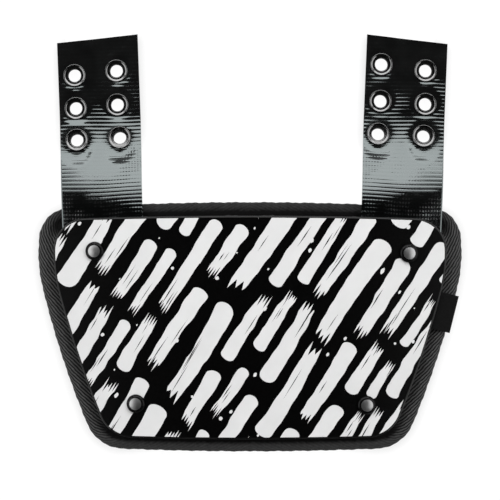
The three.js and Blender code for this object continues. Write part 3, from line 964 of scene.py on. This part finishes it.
def strap_spots(strap):
    """Rows of places over a strap, as the way across and y, close together at its edges."""
    half = STRAP.width / 2
    outer = [half - way for way in STRAP_EDGE.columns]
    middle = np.linspace(-outer[-1], outer[-1], int(2 * half / RIB.columns) + 1)
    columns = [*[-way for way in outer[:-1]], *middle, *outer[-2::-1]]
    shares = np.linspace(0, 1, int((strap.tip_inner - STRAP.root_y) / RIB.rows) + 1)
    tips = [lerp(strap.tip_inner, strap.tip_outer, (across + half) / (2 * half)) for across in columns]
    root = STRAP.root_y
    return [[(across, lerp(root, tip, share)) for across, tip in zip(columns, tips)] for share in shares]


def circle_in_plan(cx, cy, radius, corners):
    turns = np.linspace(0, 2 * math.pi, corners + 1)[:-1]
    return [(cx + radius * math.cos(t), cy + radius * math.sin(t)) for t in turns]


def build_strap(name, coated):
    """A ribbed sheet with a round hole for each eyelet."""
    strap = STRAPS[name]
    spots = strap_spots(strap)
    outer_side = [row[-1] for row in spots[1:-1]]
    inner_side = [row[0] for row in spots[-2:0:-1]]
    rim = [*spots[0], *outer_side, *spots[-1][::-1], *inner_side]
    boundary = [(strap_plan(strap, *spot), spot[1]) for spot in rim]
    inner = [(strap_plan(strap, *spot), spot[1]) for row in spots[1:-1] for spot in row[1:-1]]
    centres = [(strap.side * px, py) for px, py in EYELET_PLACES[name]]
    holes = [circle_in_plan(cx, cy, EYELET_HOLE.radius, EYELET_HOLE.corners) for cx, cy in centres]

    def clear(point):
        return all(math.dist(point, centre) > EYELET_HOLE.clear for centre in centres)

    plan, triangles, _ = fill_plan(boundary, holes, inner_points=[point for point in inner if clear(point)])
    x, y = plan.T
    count = len(plan)
    front = strap_front(name, x, y)
    points = []
    faces = []
    lay(points, faces, plan, triangles, front, True)
    lay(points, faces, plan, triangles, front - STRAP.thickness, False)
    for a, b in border_sides(triangles):
        faces.append((b, a, a + count, b + count))
    across = strap_across(strap, x, y)
    uv = np.tile(np.column_stack((rib_phase(across, y), across)), (2, 1))
    piece = add_piece(f"webbing_{name}", points, faces, [coated], uv=uv)
    keep_crisp(piece, CREASE.strap)
    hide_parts(f"strap_{name}")


# Eyelets and rivets
def round_arc(centre, radius, start, end):
    """Points of an arc in a turned profile, angles in degrees."""
    turns = np.radians(np.linspace(start, end, EYELET.arc_steps + 1))
    return [(centre[0] + radius * math.cos(t), centre[1] + radius * math.sin(t)) for t in turns]


def foot_profile(sizes, inner, washer, shank, head, front, seat):
    """A washer behind, a shank and the underside of a head, as radii and heights from the inside outward."""
    back = front - sizes.washer_thick
    chamfer, toe = sizes.chamfer, sizes.toe
    return [
        (inner, back), (washer - chamfer, back), (washer, back + chamfer), (washer, front),
        (shank, front), (shank, seat), (head - toe, seat), (head, seat + toe),
    ]


def build_eyelet(name, index, px, py, nickel, dull):
    """A barrel with a washer behind and in front a flange with a bead round it, rolled into the bore."""
    origin, axes = eyelet_frame(STRAPS[name], px, py)
    bore, flange, bead, lip = EYELET.bore, EYELET.flange, EYELET.bead, EYELET.lip
    seat = EYELET.half_height
    level = seat + EYELET.dish_level
    washer_front = -STRAP.thickness / 2 - EYELET.washer_gap
    profile = foot_profile(EYELET, bore, flange, EYELET.barrel, flange, washer_front, seat)
    profile += round_arc((flange - bead, seat + EYELET.bead_level), bead, 0, 90)
    for share in np.linspace(0, 1, EYELET.dish_rows + 1)[1:]:
        rise = EYELET.dish_depth * smoothstep(share, 1, 0)
        profile.append((lerp(flange - bead, EYELET.dish, share), level + rise))
    profile += round_arc((bore + lip, level - lip), lip, 90, 180)
    # From this row on, the rolled lip and the bore take the painted-shade black.
    bore_row = len(profile) - EYELET.arc_steps
    title = f"grommet_{name}_{index}"
    piece = turned_piece(title, profile, origin, axes, [nickel, dull], bore_row)
    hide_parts(f"eyelet_{name}_{index}")


def build_rivet(name, place, enamel, satin):
    """A washer behind the pad, a shank, and a head with a steep round rim and a flatter cap."""
    origin, axes = frame_on(seat_height, *place)
    head, seat, cap, bend = RIVET.head, RIVET.seat, RIVET.cap, RIVET.cap_bend
    top = seat + RIVET.dome
    low = seat + RIVET.shoulder
    high = top - cap**2 / (2 * bend)
    profile = foot_profile(RIVET, RIVET.middle, RIVET.washer, RIVET.shank, head, RIVET.washer_front, seat)
    for turn in np.radians(np.linspace(0, RIVET.shoulder_end, RIVET.shoulder_rows)):
        profile.append((cap + (head - cap) * math.cos(turn), lerp(low, high, math.sin(turn))))
    cap_row = len(profile)
    for share in np.linspace(1, RIVET.cap_middle, RIVET.cap_rows):
        profile.append((cap * share, top - (cap * share) ** 2 / (2 * bend)))
    piece = turned_piece(f"{name}_smooth", profile, origin, axes, [enamel, satin], cap_row)
    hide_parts(name)


# Pad
PAD_SECTION = [
    (15, -11.9, 0), (13.4, -11.3, 0), (12.6, -10.1, 0), (4.4, -9.6, 0), (2.2, -8, 0), (2.2, -6, 0.2),
    (4.4, -4.6, 1), (12.4, -4.4, 1), (13.2, -4, 1), (15, -4, 1),
]
PAD_STATIONS = 130
PAD_STEP = 5
FOAM = Sizes(voxel=5, pressure=4, frames=20, rim=17, front_level=-10.5, tuft=9, cap=2.4, floor=0.4)
WELL = Sizes(level=-10.9, inner=6.8, outer=17, from_level=-9.5)


def pad_form(lining):
    """The pad's closed form before it swells, a little thin."""
    stations = stations_of(PAD_OUTLINE, PAD_STATIONS)
    points, rings = rings_on_bow(stations, PAD_SECTION)
    faces = band_faces(rings)
    inset, back_level, _ = PAD_SECTION[0]
    front_level = PAD_SECTION[-1][1]
    grid = inner_grid(stations, inset, PAD_STEP)
    plan, triangles, _ = fill_plan(ring_at(stations, inset).tolist(), inner_points=grid)
    seat = seat_height(*plan.T)
    lay(points, faces, plan, triangles, seat + back_level, False)
    lay(points, faces, plan, triangles, seat + front_level - press_depth(*plan.T), True)
    pad = add_piece("pad_lined", points, faces, [lining])
    weld(pad)
    return pad


def from_rivets(x, y):
    """Way in plan to the nearest rivet."""
    return np.min([np.hypot(x - px, y - py) for px, py in RIVET_PLACES.values()], axis=0)


def swell_back(pad):
    """Blows the lining of the pad's back up like foam, held at the binding and at the rivets."""
    remesh = pad.modifiers.new("even", "REMESH")
    remesh.mode = "VOXEL"
    remesh.voxel_size = FOAM.voxel * MM
    apply_modifiers(pad)
    start = places_of(pad)
    x, y, z = start.T
    rim = ring_at(stations_of(PAD_OUTLINE, PAD_STATIONS), FOAM.rim)
    free = inside_polygon(rim, x, y) & (z - seat_height(x, y) < FOAM.front_level)
    free &= from_rivets(x, y) > FOAM.tuft
    group = pad.vertex_groups.new(name="held")
    group.add(np.flatnonzero(~free).tolist(), 1, "REPLACE")
    cloth = pad.modifiers.new("lining", "CLOTH")
    cloth.settings.use_pressure = True
    cloth.settings.uniform_pressure_force = FOAM.pressure
    cloth.settings.effector_weights.gravity = 0
    cloth.settings.vertex_group_mass = group.name
    cloth.point_cache.frame_start = 1
    cloth.point_cache.frame_end = FOAM.frames
    scene = bpy.context.scene
    for step in range(1, FOAM.frames + 1):
        scene.frame_set(step)
    apply_modifiers(pad)
    scene.frame_set(1)
    pad.vertex_groups.clear()
    moved = places_of(pad) - start
    reach = np.linalg.norm(moved, axis=1, keepdims=True)
    moved *= np.minimum(1, FOAM.cap / np.maximum(reach, 1e-6))
    move_points(pad, start + moved)


def tuft_back(pad):
    """Sinks the pad's back round each rivet to the level of its washer."""
    smooth = pad.modifiers.new("smooth", "SUBSURF")
    smooth.levels = 1
    apply_modifiers(pad)
    points = places_of(pad)
    x, y, z = points.T
    seat = seat_height(x, y)
    level = z - seat
    sunk = lerp(WELL.level, level, smoothstep(from_rivets(x, y), WELL.inner, WELL.outer))
    tufted = np.maximum(seat + np.maximum(level, sunk), FOAM.floor)
    points[:, 2] = np.where(level < WELL.from_level, tufted, z)
    move_points(pad, points)
    shade_smooth(pad.data)


def build_pad(lining):
    """Foam in a lining that swells between the binding and the four rivets."""
    pad = pad_form(lining)
    swell_back(pad)
    tuft_back(pad)
    if not pad.data.materials:
        pad.data.materials.append(lining)
    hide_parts("foam_pad")


# Tag
def build_tag(cloth):
    """A ribbon folded on itself, its ends tucked under the shell."""
    origin, axes = frame_on(seat_height, TAG.x, TAG.y, TAG.turn)
    inner = TAG.opening / 2
    outer = TAG.ribbon + inner
    ends = -TAG.reach
    turns = np.linspace(-math.pi / 2, math.pi / 2, TAG.fold_points)
    outside = [(-outer + outer * math.cos(t), outer * math.sin(t)) for t in turns]
    inside = [(-outer + inner * math.cos(t), inner * math.sin(t)) for t in turns[::-1]]
    profile = np.array([(ends, -outer), *outside, (ends, outer), (ends, inner), *inside, (ends, -inner)])
    way = np.concatenate(([0], np.cumsum(np.hypot(*np.diff(profile, axis=0).T))))
    rows = np.linspace(-TAG.width / 2, TAG.width / 2, TAG.rows)
    count = len(profile)
    points = []
    uv = []
    for row in rows:
        for (reach, level), step in zip(profile, way):
            points.append(origin + np.array((reach, row, level + TAG.level + outer)) @ axes)
            uv.append((row, step))
    rings = [list(range(first, first + count)) for first in range(0, len(points), count)]
    faces = [*band_faces(rings), tuple(rings[0][::-1]), tuple(rings[-1])]
    piece = add_piece("tag_ribbon", points, faces, [cloth], uv=uv)
    keep_crisp(piece, CREASE.tag)
    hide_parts("side_tag")


# Stage
CAMERA = Sizes(height=1100, y=-4.9, scale=0.627, sensor=36, clip_end=20000)
IMAGE_SIZE = 500
FLOOR = Sizes(
    reach=4000, drop=0.4, tone=0.05, glow=0.97, shade=0.44, shade_reach=8, strap_x=95, strap_half=(20, 24),
    strap_from=(40, 50),
)
WORLD = Sizes(horizon=0.55, overhead=0.02, heights=(0.2, 0.85), dim=0.4, dim_span=(-0.7, 0.1))
# Bearing from +X and tilt from straight up in degrees, and the rest in metres.
SOFTBOXES = dict(
    softbox_top=dict(bearing=90, tilt=43.5, away=1.45, aim_y=0.05, size=(1.95, 1.02), radiance=4.7),
    softbox_left=dict(bearing=180, tilt=50, away=1.5, aim_y=0, size=(1.5, 0.9), radiance=3),
    softbox_right=dict(bearing=0, tilt=50, away=1.5, aim_y=0, size=(1.5, 0.9), radiance=3),
)


def floor_material():
    """A white sheet that glows evenly, with a painted contact shadow: its glow dims close to the part, but
    not under the eyelets, which let it show bright."""
    material, web = new_material("floor_white")
    # Painted contact shadow: the glow dims where ambient occlusion finds the part close by.
    contact_shadow_ao = web.add("AmbientOcclusion", Distance=FLOOR.shade_reach * MM).outputs["AO"]
    sideways, upward = web.object_axes()
    outward = web.calc("ABSOLUTE", sideways)
    off_middle = web.calc("ABSOLUTE", web.calc("SUBTRACT", outward, FLOOR.strap_x * MM))
    low, high = FLOOR.strap_half
    under = web.spread(off_middle, 1, 0, low * MM, high * MM)
    low, high = FLOOR.strap_from
    under = web.times(under, web.spread(upward, 0, 1, low * MM, high * MM))
    glow = FLOOR.glow
    lit = web.spread(web.calc("MAXIMUM", contact_shadow_ao, under), glow * (1 - FLOOR.shade), glow, 0, 1)
    web.finish(Base_Color=grey(FLOOR.tone), Roughness=0.9, Emission_Color=grey(1), Emission_Strength=lit)
    return material


def build_floor():
    mesh = bpy.data.meshes.new("floor")
    reach, drop = FLOOR.reach * MM, FLOOR.drop * MM
    corners = [(x * reach, y * reach, -drop) for x, y in ((-1, -1), (1, -1), (1, 1), (-1, 1))]
    mesh.from_pydata(corners, [], [(0, 1, 2, 3)])
    mesh.materials.append(floor_material())
    floor = bpy.data.objects.new("floor", mesh)
    bpy.context.scene.collection.objects.link(floor)


def build_world():
    """A pale studio that is dark straight overhead, where the camera stands, and dim behind the waist."""
    world = bpy.data.worlds.new("studio")
    world.use_nodes = True
    web = Web(world.node_tree)
    axes = web.axes(web.add("TexCoord").outputs["Generated"])
    tone = web.shades(axes["Z"], WORLD.horizon, WORLD.overhead, *WORLD.heights)
    strength = web.spread(axes["Y"], WORLD.dim, 1, *WORLD.dim_span)
    web.put(world.node_tree.nodes["Background"], Color=tone, Strength=strength)
    bpy.context.scene.world = world


def build_camera():
    camera = bpy.data.cameras.new("camera")
    camera.sensor_width = CAMERA.sensor
    camera.lens = CAMERA.sensor * CAMERA.height / (CAMERA.scale * IMAGE_SIZE)
    camera.clip_end = CAMERA.clip_end * MM
    eye = bpy.data.objects.new("camera", camera)
    eye.location = (0, CAMERA.y * MM, CAMERA.height * MM)
    bpy.context.scene.collection.objects.link(eye)
    bpy.context.scene.camera = eye


def add_softbox(name, bearing, tilt, away, aim_y, size, radiance):
    """A rectangular area light of an even brightness that looks at a place on the floor."""
    turn, lean = math.radians(bearing), math.radians(tilt)
    reach = away * math.sin(lean)
    offset = Vector((reach * math.cos(turn), reach * math.sin(turn), away * math.cos(lean)))
    light = bpy.data.lights.new(name, "AREA")
    light.shape = "RECTANGLE"
    light.size, light.size_y = size
    light.energy = radiance * math.pi * size[0] * size[1]
    box = bpy.data.objects.new(name, light)
    box.location = Vector((0, aim_y, 0)) + offset
    box.rotation_euler = (-offset).to_track_quat("-Z", "Y").to_euler()
    bpy.context.scene.collection.objects.link(box)


def build_stage():
    build_floor()
    build_world()
    build_camera()
    bpy.context.scene.view_settings.view_transform = "Standard"
    for name, softbox in SOFTBOXES.items():
        add_softbox(name, **softbox)


# Everything
def build():
    build_stage()
    rim = rim_material("shell_rim", RIM.shine)
    # The less shiny rim copy for the waist edge is painted shade.
    waist_rim = rim_material("shell_rim_waist_painted_shade", RIM.dull)
    build_shell(shell_material(), print_material(), rim, waist_rim)
    build_binding(binding_material())
    coated = strap_material()
    # The second material is painted shade for the eyelets' bores and lips.
    nickel, dull = eyelet_material(), bore_painted_shade_material()
    for name in STRAPS:
        build_strap(name, coated)
        for index, (px, py) in enumerate(EYELET_PLACES[name], 1):
            build_eyelet(name, index, px, py, nickel, dull)
    enamel, satin = rivet_material(), cap_material()
    for name, place in RIVET_PLACES.items():
        build_rivet(name, place, enamel, satin)
    build_pad(lining_material())
    build_tag(tag_material())


build()
